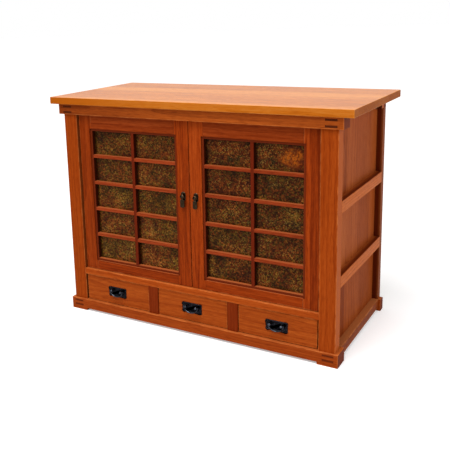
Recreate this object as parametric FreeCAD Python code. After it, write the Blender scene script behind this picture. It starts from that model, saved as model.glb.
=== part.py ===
# Tansu style cabinet: a post and beam frame with recessed side panels, a pair of
# glazed lattice doors and a row of three drawers with bail pulls.
# Millimetres. +Z is up, +X is to the right of someone facing the doors, and the
# doors face -Y. The origin is on the floor, under the middle of the top board.
import os

import FreeCAD
import Part

V = FreeCAD.Vector

# Top board
top_length = 1220.0
top_depth = 575.0
top_thickness = 27.0
top_ease = 2.0
cabinet_height = 885.0
front_overhang = 10.0        # top board past the face of the front beams
side_overhang = 53.0         # top board past the outer faces of the posts

# Post and beam frame
edge_ease = 1.2
post_width = 60.0
post_depth = 45.0
rear_post_depth = 30.0
post_setback = 8.0           # posts stand back from the face of the beams
fascia_projection = 18.0     # fascia ends past the outer faces of the posts
base_projection = 12.0       # base beam ends past the outer faces of the posts
fascia_height = 40.0
fascia_depth = 62.0
rear_rail_depth = 30.0
top_side_rail_width = 66.0
rail_head_length = 26.0      # full-width ends of the top side rails, cut back between them for the panel
base_height = 48.0
front_base_depth = 70.0
rear_base_depth = 34.0
foot_drop = 9.0              # feet reach this far below the base beams
foot_length = 74.0
foot_corner_radius = 4.0
base_rail_width = 60.0
base_rail_reveal = 3.0       # base side rails stand proud of the posts
base_rail_lift = 14.0        # underside of the base side rails above the floor
mid_rail_height = 42.0
mid_rail_width = 46.0
mid_rail_count = 2

# Frame joints: twin through tenons at the front corners, stubs elsewhere
twin_tenon_width = 41.0
twin_tenon_height = 7.5
twin_tenon_top = 6.0         # wood above the upper tenon of each pair
twin_tenon_gap_top = 14.0    # wood between the two tenons in the fascia
twin_tenon_gap_base = 10.0   # wood between the two tenons in the base beam
twin_tenon_inset = 3.0       # tenons lie inside the outer face of the post
blind_tenon_length = 20.0
post_tenon_width = 9.0
post_tenon_depth = 28.0
rear_post_tenon_depth = 16.0
post_tenon_length = 20.0
post_tenon_inset = 3.0
post_tenon_setback = 4.0     # tenon behind the front of its post
mid_tenon_length = 20.0
mid_tenon_height = 26.0

# Panels
panel_recess = 24.0          # side panels lie back from the outer faces of the posts
panel_thickness = 12.0
side_panel_height = 220.0    # of the two lower panels, between the rails
panel_tongue = 6.0           # depth of every panel groove
back_thickness = 8.0
back_rebate = 10.0           # the back board laps the frame by this much

# Inner boards
floor_thickness = 18.0
bottom_thickness = 12.0
partition_thickness = 18.0
shelf_thickness = 18.0
shelf_side_gap = 1.5
shelf_front_setback = 6.0
shelf_rear_gap = 3.0
shelf_pin_radius = 3.0
shelf_pin_reach = 11.0       # part of a shelf pin that stands out of its rail
shelf_pin_depth = 12.0       # part of a shelf pin inside its rail
shelf_pin_rise = 14.0        # pin axis above the lower edge of the upper mid rail
shelf_pin_inset = 55.0       # pins from the ends of the mid rail

# Drawer row
drawer_rail_height = 25.0
drawer_opening = 110.0
rail_setback = 1.0           # drawer rail and dividers lie back from the faces of the posts
drawer_setback = 4.5         # drawer fronts lie back from the drawer rail
divider_width = 42.0
divider_thickness = 22.0
divider_offset = 171.0       # centre of a divider from the middle of the cabinet
divider_tenon_length = 8.0
divider_tenon_thickness = 8.0
divider_tenon_shoulder = 6.0
rail_tenon_length = 15.0
rail_tenon_height = 15.0
rail_tenon_thickness = 14.0
drawer_gap = 2.0
drawer_post_gap = 5.0        # outer drawers from the posts
drawer_front_thickness = 20.0
drawer_front_ease = 1.0
drawer_side_thickness = 12.0
drawer_side_drop = 7.0       # drawer sides below the top of their opening
drawer_back_drop = 8.0       # drawer back below its sides
drawer_back_gap = 52.0       # space between a drawer box and the back panel
drawer_bottom_thickness = 6.0
drawer_bottom_rise = 9.0     # underside of the bottom above the edges of the sides
drawer_bottom_groove = 6.0
drawer_lift = 0.3            # running gap between drawer sides and runners
guide_clearance = 1.0
runner_height = 6.0
runner_bearing = 14.0        # width of runner that reaches under a drawer side
runner_lip_height = 16.0
tail_count = 3
tail_length = 12.0
tail_narrow = 14.0
tail_wide = 20.0

# Doors
door_setback = 11.0          # doors lie back from the faces of the posts
door_thickness = 29.0
door_hinge_gap = 2.5
door_meeting_gap = 3.0
door_top_gap = 2.0
door_bottom_gap = 2.0
stile_width = 59.0
door_top_rail = 62.0
door_bottom_rail = 46.0
sticking_width = 9.0         # stepped moulding round the opening
sticking_depth = 5.0
door_tenon_length = 25.0
door_tenon_thickness = 8.0
door_tenon_setback = 7.0     # tenon behind the face of the door
door_tenon_shoulder = 10.0
lattice_depth = 15.0
upright_width = 12.0
crossbar_width = 12.0
pane_rows = 5
glass_thickness = 4.0
glass_rebate = 8.0
glass_clearance = 1.0

# Door pivots
pivot_edge = 9.0             # pivot axis from the hinge edge of the door
pivot_face = 6.0             # pivot axis behind the face of the door
pivot_radius = 2.5
pivot_in_door = 30.0
pivot_in_bush = 8.0
pivot_clearance = 0.05
bush_radius = 4.5
bush_depth = 10.0
bush_flange_radius = 5.5
bush_flange_gap = 0.3

# Ball catches over the meeting stiles
catch_offset = 60.0
catch_radius = 4.5
catch_depth = 14.0
catch_ball_radius = 3.0
catch_ball_reach = 1.4

# Door pulls: a boss with a hanging drop
door_pull_height = 534.0     # pivot of the drop above the floor
pull_plate_width = 20.0
pull_plate_height = 34.0
pull_plate_thickness = 2.0
boss_width = 18.0
boss_depth = 14.0
boss_above = 10.0
boss_below = 8.0
boss_cheek = 4.5
boss_crown = 3.0
boss_ease = 2.0
drop_pin_radius = 1.5
drop_pin_clearance = 0.08
drop_eye_radius = 4.5
drop_side_gap = 0.3
drop_width = 18.0
drop_thickness = 5.0
drop_length = 40.0           # pivot to the lower end of the drop
drop_shoulder = 11.0         # pivot to the top of the wide part of the drop
drop_end_radius = 4.0

# Drawer pulls: a bevelled plate with two posts and a bail
plate_width = 84.0
plate_height = 40.0
plate_thickness = 3.0
plate_bevel = 2.0
ear_spacing = 44.0
ear_size = 9.0
ear_length = 14.0
ear_ease = 1.5
ear_rise = 7.0               # bail axis above the middle of the plate
ear_axis_reach = 9.0         # bail axis in front of the plate
bail_bar = 5.0               # eight-sided bar of the bail, across its flats
bail_corner = 1.5
bail_head = 3.5              # arms of the bail above its axis
bail_pin_radius = 2.0
bail_pin_depth = 6.5
bail_clearance = 0.08
bail_side_gap = 0.6
bail_drop = 22.0
bail_bend = 6.0

# Places that the driving sizes settle, right-hand side first
post_outer = top_length / 2 - side_overhang
post_inner = post_outer - post_width
fascia_end = post_outer + fascia_projection
base_end = post_outer + base_projection
beam_face = -top_depth / 2 + front_overhang
frame_back = top_depth / 2
post_face = beam_face + post_setback
post_rear_edge = post_face + post_depth
rear_post_face = frame_back - rear_post_depth
frame_top = cabinet_height - top_thickness
fascia_low = frame_top - fascia_height
tenon_outer = post_outer - twin_tenon_inset
tenon_inner = tenon_outer - twin_tenon_width
panel_face = post_outer - panel_recess
panel_inner = panel_face - panel_thickness
base_rail_outer = post_outer + base_rail_reveal
base_rail_inner = base_rail_outer - base_rail_width
front_base_back = beam_face + front_base_depth
rear_base_face = frame_back - rear_base_depth
fascia_back = beam_face + fascia_depth
rear_rail_face = frame_back - rear_rail_depth
head_front = fascia_back + rail_head_length
head_rear = rear_rail_face - rail_head_length
rail_face = post_face + rail_setback
drawer_face = rail_face + drawer_setback
drawer_top = base_height + drawer_opening
drawer_bound = post_inner - drawer_post_gap + drawer_gap
rail_top = drawer_top + drawer_rail_height
floor_low = rail_top - floor_thickness
bottom_top = base_height - runner_height
box_front = drawer_face + drawer_front_thickness
box_back = frame_back - back_thickness - drawer_back_gap
box_low = base_height + drawer_lift
box_high = drawer_top - drawer_side_drop
door_face = post_face + door_setback
door_back = door_face + door_thickness
door_low = rail_top + door_bottom_gap
door_high = fascia_low - door_top_gap
hinge_edge = post_inner - door_hinge_gap
meeting_edge = door_meeting_gap / 2
pane_left = meeting_edge + stile_width
pane_right = hinge_edge - stile_width
pane_low = door_low + door_bottom_rail
pane_high = door_high - door_top_rail
lattice_face = door_face + sticking_depth
glass_face = lattice_face + lattice_depth
glass_back = glass_face + glass_thickness
pivot_x = hinge_edge - pivot_edge
pivot_y = door_face + pivot_face
mid_lows = [base_height + side_panel_height + i * (side_panel_height + mid_rail_height)
            for i in range(mid_rail_count)]


def block(x0, x1, y0, y1, z0, z1):
    return Part.makeBox(x1 - x0, y1 - y0, z1 - z0, V(x0, y0, z0))


def board(x0, x1, y0, y1, z0, z1, along, ease=edge_ease):
    # A board whose long edges, along one axis, are eased with a small chamfer.
    shape = block(x0, x1, y0, y1, z0, z1)
    direction = {"x": V(1, 0, 0), "y": V(0, 1, 0), "z": V(0, 0, 1)}[along]
    edges = [e for e in shape.Edges if abs(e.tangentAt(e.FirstParameter).dot(direction)) > 0.99]
    return shape.makeChamfer(ease, edges)


def rod(radius, start, length, direction):
    return Part.makeCylinder(radius, length, start, direction)


def mirrored(shape):
    return shape.mirror(V(0, 0, 0), V(1, 0, 0))


def prism(points, travel):
    # A closed outline of points, pushed along a vector.
    return Part.Face(Part.makePolygon(points + points[:1])).extrude(travel)


def save(name, shapes):
    # Every piece is its own solid, and a group is a compound of separate solids.
    solids = []
    for shape in shapes:
        solids.extend(shape.removeSplitter().Solids)
    result = solids[0] if len(solids) == 1 else Part.makeCompound(solids)
    result.exportStep("parts/" + name + ".step")


def save_pair(name, shapes):
    # The right-hand piece and its mirror image on the left.
    save("right_" + name, shapes)
    save("left_" + name, [mirrored(s) for s in shapes])


# Tools that cut one piece to fit another

def both_sides(shape):
    return [shape, mirrored(shape)]


def twin_tenons(top, gap, y0, y1):
    # Upper and lower tenon of the right-hand side rail, below the given top.
    upper = top - twin_tenon_top
    lower = upper - twin_tenon_height - gap
    return [block(tenon_inner, tenon_outer, y0, y1, z - twin_tenon_height, z) for z in (upper, lower)]


def post_tenons(face, depth):
    # Lower and upper stub tenon of a right-hand post with the given front face.
    inner = post_inner + post_tenon_inset
    front = face + post_tenon_setback
    spans = ((base_height - post_tenon_length, base_height), (fascia_low, fascia_low + post_tenon_length))
    return [block(inner, inner + post_tenon_width, front, front + depth, z0, z1) for z0, z1 in spans]


def front_post_tenons():
    return post_tenons(post_face, post_tenon_depth)


def rear_post_tenons():
    return post_tenons(rear_post_face, rear_post_tenon_depth)


def mid_tenons(low):
    # Stub tenons of a mid rail, in line with the panel grooves.
    z0 = low + (mid_rail_height - mid_tenon_height) / 2
    ends = ((post_rear_edge - mid_tenon_length, post_rear_edge),
            (rear_post_face, rear_post_face + mid_tenon_length))
    return [block(panel_inner, panel_face, y0, y1, z0, z0 + mid_tenon_height) for y0, y1 in ends]


def side_panel_shapes():
    # The top panel runs up past the top side rail to the top board, between the heads of the rail.
    lows = [base_height - panel_tongue] + [low + mid_rail_height - panel_tongue for low in mid_lows]
    highs = [low + panel_tongue for low in mid_lows] + [fascia_low]
    panels = [block(panel_inner, panel_face, post_rear_edge - panel_tongue, rear_post_face + panel_tongue, low, high)
              for low, high in zip(lows, highs)]
    panels[-1] = panels[-1].fuse(block(panel_inner, panel_face, head_front, head_rear, fascia_low, frame_top))
    return panels


def back_panel_shape():
    return block(-post_inner - back_rebate, post_inner + back_rebate, frame_back - back_thickness, frame_back,
                 base_height - back_rebate, fascia_low + back_rebate)


def bottom_board_shape():
    return block(-base_rail_inner - panel_tongue, base_rail_inner + panel_tongue,
                 front_base_back - panel_tongue, rear_base_face + panel_tongue,
                 bottom_top - bottom_thickness, bottom_top)


def rail_tenon():
    # Stub tenon of the drawer rail in the right-hand front post.
    z0 = drawer_top + (drawer_rail_height - rail_tenon_height) / 2
    y0 = rail_face + (post_rear_edge - rail_face - rail_tenon_thickness) / 2
    return block(post_inner, post_inner + rail_tenon_length, y0, y0 + rail_tenon_thickness,
                 z0, z0 + rail_tenon_height)


def divider_tenons():
    # Stub tenons of the right-hand drawer divider, in the base beam and the drawer rail.
    half = divider_width / 2 - divider_tenon_shoulder
    y0 = rail_face + (divider_thickness - divider_tenon_thickness) / 2
    spans = ((base_height - divider_tenon_length, base_height), (drawer_top, drawer_top + divider_tenon_length))
    return [block(divider_offset - half, divider_offset + half, y0, y0 + divider_tenon_thickness, z0, z1)
            for z0, z1 in spans]


def bush_shapes():
    # Lower and upper pivot bush of the right-hand door, each with a thin flange.
    flange = door_bottom_gap - bush_flange_gap
    lower = rod(bush_radius, V(pivot_x, pivot_y, rail_top - bush_depth), bush_depth, V(0, 0, 1))
    lower = lower.fuse(rod(bush_flange_radius, V(pivot_x, pivot_y, rail_top), flange, V(0, 0, 1)))
    flange = door_top_gap - bush_flange_gap
    upper = rod(bush_radius, V(pivot_x, pivot_y, fascia_low), bush_depth, V(0, 0, 1))
    upper = upper.fuse(rod(bush_flange_radius, V(pivot_x, pivot_y, fascia_low - flange), flange, V(0, 0, 1)))
    bore = rod(pivot_radius + pivot_clearance, V(pivot_x, pivot_y, rail_top - bush_depth),
               fascia_low - rail_top + 2 * bush_depth, V(0, 0, 1))
    return [lower, upper], bore


def catch_shape():
    # Barrel of the right-hand ball catch, with its ball showing below the fascia.
    y = (door_face + door_back) / 2
    barrel = rod(catch_radius, V(catch_offset, y, fascia_low), catch_depth, V(0, 0, 1))
    ball_centre = V(catch_offset, y, fascia_low - catch_ball_reach + catch_ball_radius)
    return barrel, barrel.fuse(Part.makeSphere(catch_ball_radius, ball_centre))


def shelf_pin_shapes():
    # Front and rear shelf pin in the right-hand upper mid rail.
    inner = post_outer - mid_rail_width
    z = mid_lows[-1] + shelf_pin_rise
    spots = (post_rear_edge + shelf_pin_inset, rear_post_face - shelf_pin_inset)
    return [rod(shelf_pin_radius, V(inner - shelf_pin_reach, y, z), shelf_pin_reach + shelf_pin_depth, V(1, 0, 0))
            for y in spots]


# Frame

def build_top_board():
    shape = block(-top_length / 2, top_length / 2, -top_depth / 2, top_depth / 2, frame_top, cabinet_height)
    save("top_board", [shape.makeFillet(top_ease, shape.Edges)])


def build_fascia():
    beam = board(-fascia_end, fascia_end, beam_face, fascia_back, fascia_low, frame_top, "x")
    cuts = []
    for tenon in twin_tenons(frame_top, twin_tenon_gap_top, beam_face, fascia_back):
        cuts += both_sides(tenon)
    cuts += both_sides(front_post_tenons()[1])
    cuts += both_sides(bush_shapes()[0][1])
    cuts += both_sides(catch_shape()[0])
    save("front_fascia", [beam.cut(cuts)])


def build_rear_top_rail():
    rail = board(-post_outer, post_outer, rear_rail_face, frame_back, fascia_low, frame_top, "x")
    cuts = [back_panel_shape()]
    for tenon in twin_tenons(frame_top, twin_tenon_gap_top, rear_rail_face, rear_rail_face + blind_tenon_length):
        cuts += both_sides(tenon)
    cuts += both_sides(rear_post_tenons()[1])
    save("rear_top_rail", [rail.cut(cuts)])


def build_top_side_rails():
    rail = board(post_outer - top_side_rail_width, post_outer, fascia_back, rear_rail_face,
                 fascia_low, frame_top, "y")
    tenons = twin_tenons(frame_top, twin_tenon_gap_top, beam_face, rear_rail_face + blind_tenon_length)
    relief = block(panel_inner, post_outer, head_front, head_rear, fascia_low, frame_top)
    ends = (block(tenon_inner, tenon_outer, beam_face, fascia_back, fascia_low, frame_top),
            block(tenon_inner, tenon_outer, rear_rail_face, frame_back, fascia_low, frame_top))
    tenons = [tenon.common(end) for tenon in tenons for end in ends]
    save_pair("top_side_rail", [rail.cut(relief).fuse(tenons)])


def build_posts():
    cuts = side_panel_shapes() + [back_panel_shape(), rail_tenon()]
    for low in mid_lows:
        cuts += mid_tenons(low)
    posts = (("front_post", post_face, post_rear_edge, front_post_tenons()),
             ("rear_post", rear_post_face, frame_back, rear_post_tenons()))
    for name, front, back, tenons in posts:
        post = board(post_inner, post_outer, front, back, base_height, fascia_low, "z")
        save_pair(name, [post.fuse(tenons).cut(cuts)])


def build_mid_rails():
    rails = []
    for low in mid_lows:
        rail = board(post_outer - mid_rail_width, post_outer, post_rear_edge, rear_post_face,
                     low, low + mid_rail_height, "y")
        rails.append(rail.fuse(mid_tenons(low)).cut(side_panel_shapes() + shelf_pin_shapes()))
    save_pair("mid_rails", rails)


def build_side_panels():
    save_pair("side_panels", side_panel_shapes())


def foot_profile(y):
    # End-to-end outline of a base beam: a straight beam that steps down to a foot at each end.
    step = base_end - foot_length
    r = foot_corner_radius
    corners = [V(-base_end, y, base_height), V(base_end, y, base_height), V(base_end, y, 0), V(step, y, 0),
               V(step, y, foot_drop - r), V(step - r, y, foot_drop),
               V(-step + r, y, foot_drop), V(-step, y, foot_drop - r), V(-step, y, 0), V(-base_end, y, 0)]
    edges = []
    for i, start in enumerate(corners):
        end = corners[(i + 1) % len(corners)]
        if i in (4, 6):
            side = 1 if i == 4 else -1
            centre = V(side * (step - r), y, foot_drop - r)
            middle = centre + V(side * r, 0, r) * 0.5 ** 0.5
            edges.append(Part.Arc(start, middle, end).toShape())
        else:
            edges.append(Part.LineSegment(start, end).toShape())
    return Part.Face(Part.Wire(edges))


def build_base_beam(name, y0, y1, post_tenon, cuts):
    beam = foot_profile(y0).extrude(V(0, y1 - y0, 0))
    ends = (y0, y1)
    long_edges = [e for e in beam.Edges if abs(e.BoundBox.YLength) < 1e-6 and e.BoundBox.YMin in ends
                  and e.BoundBox.XLength > foot_length * 2 and e.BoundBox.ZMin > base_height - 1e-6]
    beam = beam.makeChamfer(edge_ease, long_edges)
    cuts = cuts + both_sides(post_tenon) + both_sides(side_panel_shapes()[0])
    save(name, [beam.cut(cuts + [bottom_board_shape()])])


def build_base_beams():
    front_cuts = []
    for tenon in twin_tenons(base_height, twin_tenon_gap_base, beam_face, front_base_back):
        front_cuts += both_sides(tenon)
    front_cuts += both_sides(divider_tenons()[0])
    build_base_beam("front_base_beam", beam_face, front_base_back, front_post_tenons()[0], front_cuts)
    rear_cuts = [back_panel_shape()]
    for tenon in twin_tenons(base_height, twin_tenon_gap_base, rear_base_face, rear_base_face + blind_tenon_length):
        rear_cuts += both_sides(tenon)
    build_base_beam("rear_base_beam", rear_base_face, frame_back, rear_post_tenons()[0], rear_cuts)


def build_base_rails():
    rail = board(base_rail_inner, base_rail_outer, front_base_back, rear_base_face,
                 base_rail_lift, base_height, "y")
    tenons = twin_tenons(base_height, twin_tenon_gap_base, beam_face, rear_base_face + blind_tenon_length)
    save_pair("base_rail", [rail.fuse(tenons).cut(side_panel_shapes() + [bottom_board_shape()])])


# Inner boards

def build_inner_boards():
    save("back_panel", [back_panel_shape()])
    save("bottom_board", [bottom_board_shape()])
    floor_back = frame_back - back_thickness
    floor = block(-panel_inner, panel_inner, post_rear_edge, floor_back, floor_low, rail_top)
    corner = block(post_inner, panel_inner, rear_post_face, floor_back, floor_low, rail_top)
    save("cabinet_floor", [floor.cut(both_sides(corner))])


def build_shelf():
    pins = shelf_pin_shapes()
    side = post_outer - mid_rail_width - shelf_side_gap
    low = mid_lows[-1] + shelf_pin_rise + shelf_pin_radius
    shelf = board(-side, side, post_rear_edge + shelf_front_setback, rear_post_face - shelf_rear_gap,
                  low, low + shelf_thickness, "x")
    save("shelf", [shelf])
    save("shelf_pins", pins + [mirrored(p) for p in pins])


# Drawer row

def drawer_bays():
    # Name, left and right end of each opening in the drawer row.
    inner = divider_offset - divider_width / 2
    outer = divider_offset + divider_width / 2
    return (("left_drawer", -drawer_bound, -outer), ("centre_drawer", -inner, inner),
            ("right_drawer", outer, drawer_bound))


def build_drawer_rail():
    rail = board(-post_inner, post_inner, rail_face, post_rear_edge, drawer_top, rail_top, "x")
    rail = rail.fuse(both_sides(rail_tenon()))
    cuts = both_sides(divider_tenons()[1]) + both_sides(bush_shapes()[0][0])
    save("drawer_rail", [rail.cut(cuts)])


def build_dividers():
    half = divider_width / 2
    divider = board(divider_offset - half, divider_offset + half, rail_face, rail_face + divider_thickness,
                    base_height, drawer_top, "z")
    save("drawer_dividers", both_sides(divider.fuse(divider_tenons())))


def build_partitions():
    # Two boards behind the dividers and two on the base rails carry the floor.
    half = partition_thickness / 2
    inner = block(divider_offset - half, divider_offset + half, front_base_back, rear_base_face,
                  bottom_top, floor_low)
    guide = drawer_bound - drawer_gap + guide_clearance
    outer = block(guide, guide + partition_thickness, front_base_back, rear_base_face, base_height, floor_low)
    save("drawer_partitions", both_sides(inner) + both_sides(outer))


def runner(wall, side):
    # A strip beside a partition wall: it bears a drawer side and guides it with a lip.
    # The wall is the partition face, and side is the outer face of the drawer side.
    reach = 1 if side > wall else -1
    lip = side - reach * guide_clearance
    bearing = side + reach * runner_bearing
    strip = block(min(wall, bearing), max(wall, bearing), front_base_back, rear_base_face, bottom_top, base_height)
    if abs(lip - wall) < guide_clearance:
        return strip
    return strip.fuse(block(min(wall, lip), max(wall, lip), front_base_back, rear_base_face,
                            bottom_top, base_height + runner_lip_height))


def build_runners():
    partition_far = divider_offset + partition_thickness / 2
    partition_near = divider_offset - partition_thickness / 2
    guide = drawer_bound - drawer_gap + guide_clearance
    bays = drawer_bays()
    right_low = bays[2][1] + drawer_gap
    right_high = bays[2][2] - drawer_gap
    centre_high = bays[1][2] - drawer_gap
    strips = [runner(partition_far, right_low), runner(guide, right_high), runner(partition_near, centre_high)]
    save("drawer_runners", strips + [mirrored(s) for s in strips])


def dovetails(x0, x1):
    # Tails at the front end of a drawer side, let into the back of the drawer front.
    pitch = (box_high - box_low) / tail_count
    tip = box_front - tail_length
    tails = []
    for i in range(tail_count):
        z = box_low + pitch * (i + 0.5)
        outline = [V(x0, box_front, z - tail_narrow / 2), V(x0, box_front, z + tail_narrow / 2),
                   V(x0, tip, z + tail_wide / 2), V(x0, tip, z - tail_wide / 2)]
        tails.append(prism(outline, V(x1 - x0, 0, 0)))
    return tails


def build_drawer(name, left, right):
    x0 = left + drawer_gap
    x1 = right - drawer_gap
    z0 = base_height + drawer_gap
    z1 = drawer_top - drawer_gap
    side_spans = ((x0, x0 + drawer_side_thickness), (x1 - drawer_side_thickness, x1))
    inside = (x0 + drawer_side_thickness, x1 - drawer_side_thickness)
    bottom_low = box_low + drawer_bottom_rise
    bottom = block(inside[0] - drawer_bottom_groove, inside[1] + drawer_bottom_groove,
                   box_front - drawer_bottom_groove, box_back,
                   bottom_low, bottom_low + drawer_bottom_thickness)
    back = block(inside[0], inside[1], box_back - drawer_side_thickness, box_back,
                 bottom_low + drawer_bottom_thickness, box_high - drawer_back_drop)
    front = block(x0, x1, drawer_face, box_front, z0, z1)
    show = [e for e in front.Edges if e.BoundBox.YMax < drawer_face + 1e-6]
    front = front.makeChamfer(drawer_front_ease, show)
    sides = []
    for start, end in side_spans:
        tails = dovetails(start, end)
        front = front.cut(tails)
        side = block(start, end, box_front, box_back, box_low, box_high)
        sides.append(side.fuse(tails).cut(bottom))
    save(name + "_front", [front.cut(bottom)])
    save(name + "_box", sides + [back, bottom])
    build_bail_pull(name, (x0 + x1) / 2, (z0 + z1) / 2)


def build_bail_pull(name, x, z):
    back = drawer_face
    face = back - plate_thickness
    plate = block(x - plate_width / 2, x + plate_width / 2, face, back, z - plate_height / 2, z + plate_height / 2)
    rim = [e for e in plate.Edges if e.BoundBox.YMax < face + 1e-6]
    plate = plate.makeChamfer(plate_bevel, rim)
    axis_y = face - ear_axis_reach
    axis_z = z + ear_rise
    half = ear_size / 2
    ears = []
    for side in (-1, 1):
        middle = x + side * ear_spacing / 2
        ear = block(middle - half, middle + half, face - ear_length, face, axis_z - half, axis_z + half)
        nose = [e for e in ear.Edges if e.BoundBox.YMax < face - ear_length + 1e-6]
        ear = ear.makeChamfer(ear_ease, nose)
        outer = V(middle + side * half, axis_y, axis_z)
        hole = rod(bail_pin_radius + bail_clearance, outer, bail_pin_depth + bail_clearance, V(-side, 0, 0))
        ears.append(ear.cut(hole))
    save(name + "_pull_plate", [plate.fuse(ears)])
    save(name + "_bail", [bail_shape(x, axis_y, axis_z)])


def bail_shape(x, y, z):
    # An eight-sided bar bent to a bail, with a round pin turned in to each ear.
    arm = ear_spacing / 2 + ear_size / 2 + bail_side_gap + bail_bar / 2
    pin_end = ear_spacing / 2 + ear_size / 2 - bail_pin_depth
    top = z + bail_head
    low = z - bail_drop
    path = rounded_path([V(x - arm, y, top), V(x - arm, y, low), V(x + arm, y, low), V(x + arm, y, top)], bail_bend)
    flat = bail_bar / 2
    cut = flat - bail_corner
    outline = [V(x - arm + dx, y + dy, top) for dx, dy in ((flat, cut), (cut, flat), (-cut, flat), (-flat, cut),
                                                           (-flat, -cut), (-cut, -flat), (cut, -flat), (flat, -cut))]
    bar = path.makePipe(Part.Face(Part.makePolygon(outline + outline[:1])))
    pins = [rod(bail_pin_radius, V(x + side * arm, y, z), arm - pin_end, V(-side, 0, 0)) for side in (-1, 1)]
    return bar.fuse(pins)


def rounded_path(corners, radius):
    # Straight runs joined by tangent quarter arcs.
    edges = []
    start = corners[0]
    for before, corner, after in zip(corners, corners[1:], corners[2:]):
        towards = (before - corner).normalize()
        away = (after - corner).normalize()
        begin = corner + towards * radius
        end = corner + away * radius
        middle = corner + (towards + away) * (radius * (1 - 0.5 ** 0.5))
        edges.append(Part.LineSegment(start, begin).toShape())
        edges.append(Part.Arc(begin, middle, end).toShape())
        start = end
    edges.append(Part.LineSegment(start, corners[-1]).toShape())
    return Part.Wire(edges)


# Doors, built on the right and mirrored to the left

def door_frame_cuts():
    # The stepped moulding at the front and the glass rebate at the back.
    s = sticking_width
    r = glass_rebate
    return [block(pane_left - s, pane_right + s, door_face, lattice_face, pane_low - s, pane_high + s),
            block(pane_left - r, pane_right + r, glass_face, door_back, pane_low - r, pane_high + r)]


def pivot_shapes():
    lower = rod(pivot_radius, V(pivot_x, pivot_y, rail_top - pivot_in_bush),
                pivot_in_bush + door_bottom_gap + pivot_in_door, V(0, 0, 1))
    upper = rod(pivot_radius, V(pivot_x, pivot_y, door_high - pivot_in_door),
                pivot_in_door + door_top_gap + pivot_in_bush, V(0, 0, 1))
    return [lower, upper]


def door_tenons(z0, z1):
    y0 = door_face + door_tenon_setback
    y1 = y0 + door_tenon_thickness
    low = z0 + door_tenon_shoulder
    high = z1 - door_tenon_shoulder
    return [block(pane_left - door_tenon_length, pane_left, y0, y1, low, high),
            block(pane_right, pane_right + door_tenon_length, y0, y1, low, high)]


def build_door_frames():
    cuts = door_frame_cuts()
    rails = (("door_top_rail", pane_high, door_high), ("door_bottom_rail", door_low, pane_low))
    mortises = []
    for name, z0, z1 in rails:
        tenons = door_tenons(z0, z1)
        mortises += tenons
        rail = block(pane_left, pane_right, door_face, door_back, z0, z1)
        save_pair(name, [rail.fuse(tenons).cut(cuts)])
    stiles = (("door_hinge_stile", pane_right, hinge_edge), ("door_meeting_stile", meeting_edge, pane_left))
    for name, x0, x1 in stiles:
        stile = board(x0, x1, door_face, door_back, door_low, door_high, "z")
        save_pair(name, [stile.cut(cuts + mortises + pivot_shapes())])


def build_lattices():
    # One upright and a row of crossbars, halved into each other.
    bar_count = pane_rows - 1
    pane_height = (pane_high - pane_low - bar_count * crossbar_width) / pane_rows
    x = (pane_left + pane_right) / 2
    half = upright_width / 2
    halving = (lattice_face + glass_face) / 2
    upright = block(x - half, x + half, lattice_face, glass_face, pane_low, pane_high)
    crossbars = []
    for i in range(bar_count):
        z = pane_low + (i + 1) * pane_height + i * crossbar_width
        bar = block(pane_left, pane_right, lattice_face, glass_face, z, z + crossbar_width)
        crossbars.append(bar.cut(block(x - half, x + half, halving, glass_face, z, z + crossbar_width)))
        upright = upright.cut(block(x - half, x + half, lattice_face, halving, z, z + crossbar_width))
    save_pair("door_lattice", [upright] + crossbars)


def build_glazing():
    g = glass_rebate - glass_clearance
    glass = block(pane_left - g, pane_right + g, glass_face, glass_back, pane_low - g, pane_high + g)
    save_pair("door_glass", [glass])
    r = glass_rebate
    uprights = [block(pane_left - r, pane_left, glass_back, door_back, pane_low - r, pane_high + r),
                block(pane_right, pane_right + r, glass_back, door_back, pane_low - r, pane_high + r)]
    levels = [block(pane_left, pane_right, glass_back, door_back, pane_low - r, pane_low),
              block(pane_left, pane_right, glass_back, door_back, pane_high, pane_high + r)]
    save_pair("door_glazing_beads", uprights + levels)


def build_pivots():
    bushes, bore = bush_shapes()
    bushes = [b.cut(bore) for b in bushes]
    save("pivot_bushes", bushes + [mirrored(b) for b in bushes])
    save_pair("door_pivot_pins", pivot_shapes())
    save("door_ball_catches", both_sides(catch_shape()[1]))


def build_door_pulls():
    x = (meeting_edge + pane_left - sticking_width) / 2
    z = door_pull_height
    plate_face = door_face - pull_plate_thickness
    boss_face = plate_face - boss_depth
    axis_y = plate_face - boss_depth / 2
    middle = z + (boss_above - boss_below) / 2
    plate = block(x - pull_plate_width / 2, x + pull_plate_width / 2, plate_face, door_face,
                  middle - pull_plate_height / 2, middle + pull_plate_height / 2)
    boss = block(x - boss_width / 2, x + boss_width / 2, boss_face, plate_face, z - boss_below, z + boss_above)
    nose = [e for e in boss.Edges if e.BoundBox.YMax < boss_face + 1e-6]
    boss = boss.makeChamfer(boss_ease, nose)
    slot_half = boss_width / 2 - boss_cheek
    slot = block(x - slot_half, x + slot_half, boss_face, plate_face, z - boss_below, z + boss_above - boss_crown)
    pin = rod(drop_pin_radius, V(x - boss_width / 2, axis_y, z), boss_width, V(1, 0, 0))
    save_pair("door_pull_boss", [plate.fuse(boss).cut([slot, pin]), pin])
    save_pair("door_pull_drop", [drop_shape(x, axis_y, z, slot_half - drop_side_gap)])


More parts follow.
